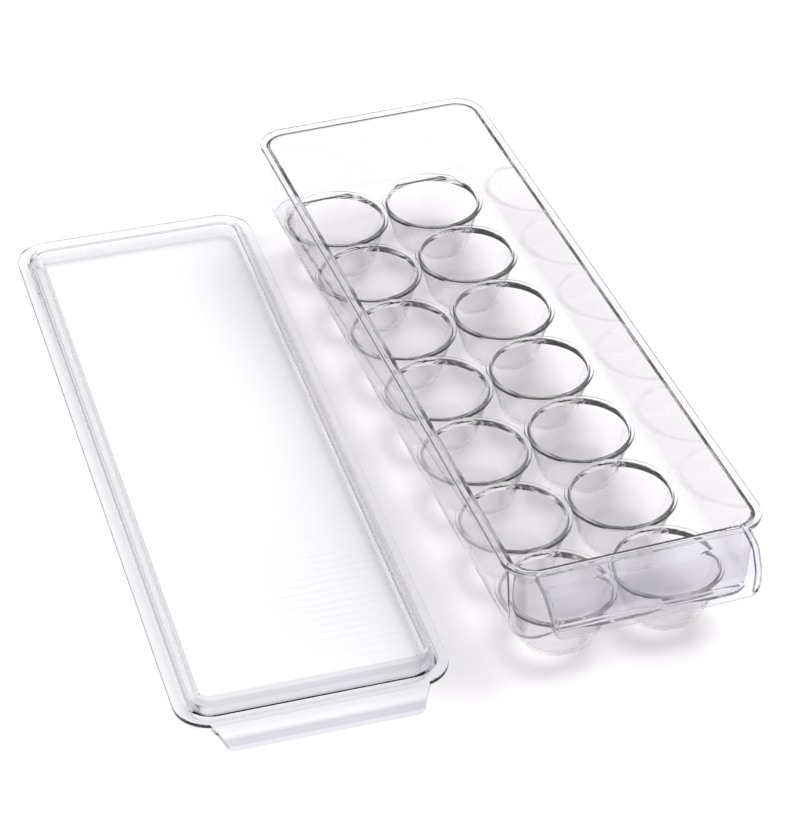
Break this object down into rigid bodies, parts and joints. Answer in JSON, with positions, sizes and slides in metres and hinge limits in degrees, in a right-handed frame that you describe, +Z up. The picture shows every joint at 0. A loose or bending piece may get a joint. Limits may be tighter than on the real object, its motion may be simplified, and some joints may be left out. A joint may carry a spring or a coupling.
{
  "type": "egg keeper",
  "caption": "Clear plastic egg keeper: an open oblong tray with rows of round egg cups and a pull flap, and its lift-off lid lying beside it.",
  "frame": {"origin": "on the surface that the tray stands on, under the middle of the tray's cups", "axes": "+Z up; Y along the tray's length, with the pull flap at -Y; +X to the right as seen from the flap, with the lid lying at -X"},
  "size_m": [0.2502, 0.4034, 0.0658],
  "materials": {
    "clear_tray": "clear, moulded, high gloss",
    "clear_lid": "clear, moulded, high gloss"
  },
  "bodies": {
    "tray": {"tray": "clear_tray"},
    "lid": {"lid": "clear_lid"}
  },
  "joints": [
    {"name": "lid_lift", "type": "slide", "parent": "tray", "child": "lid", "axis": [0, 0, 1], "range_m": [0, 0.12]}
  ]
}
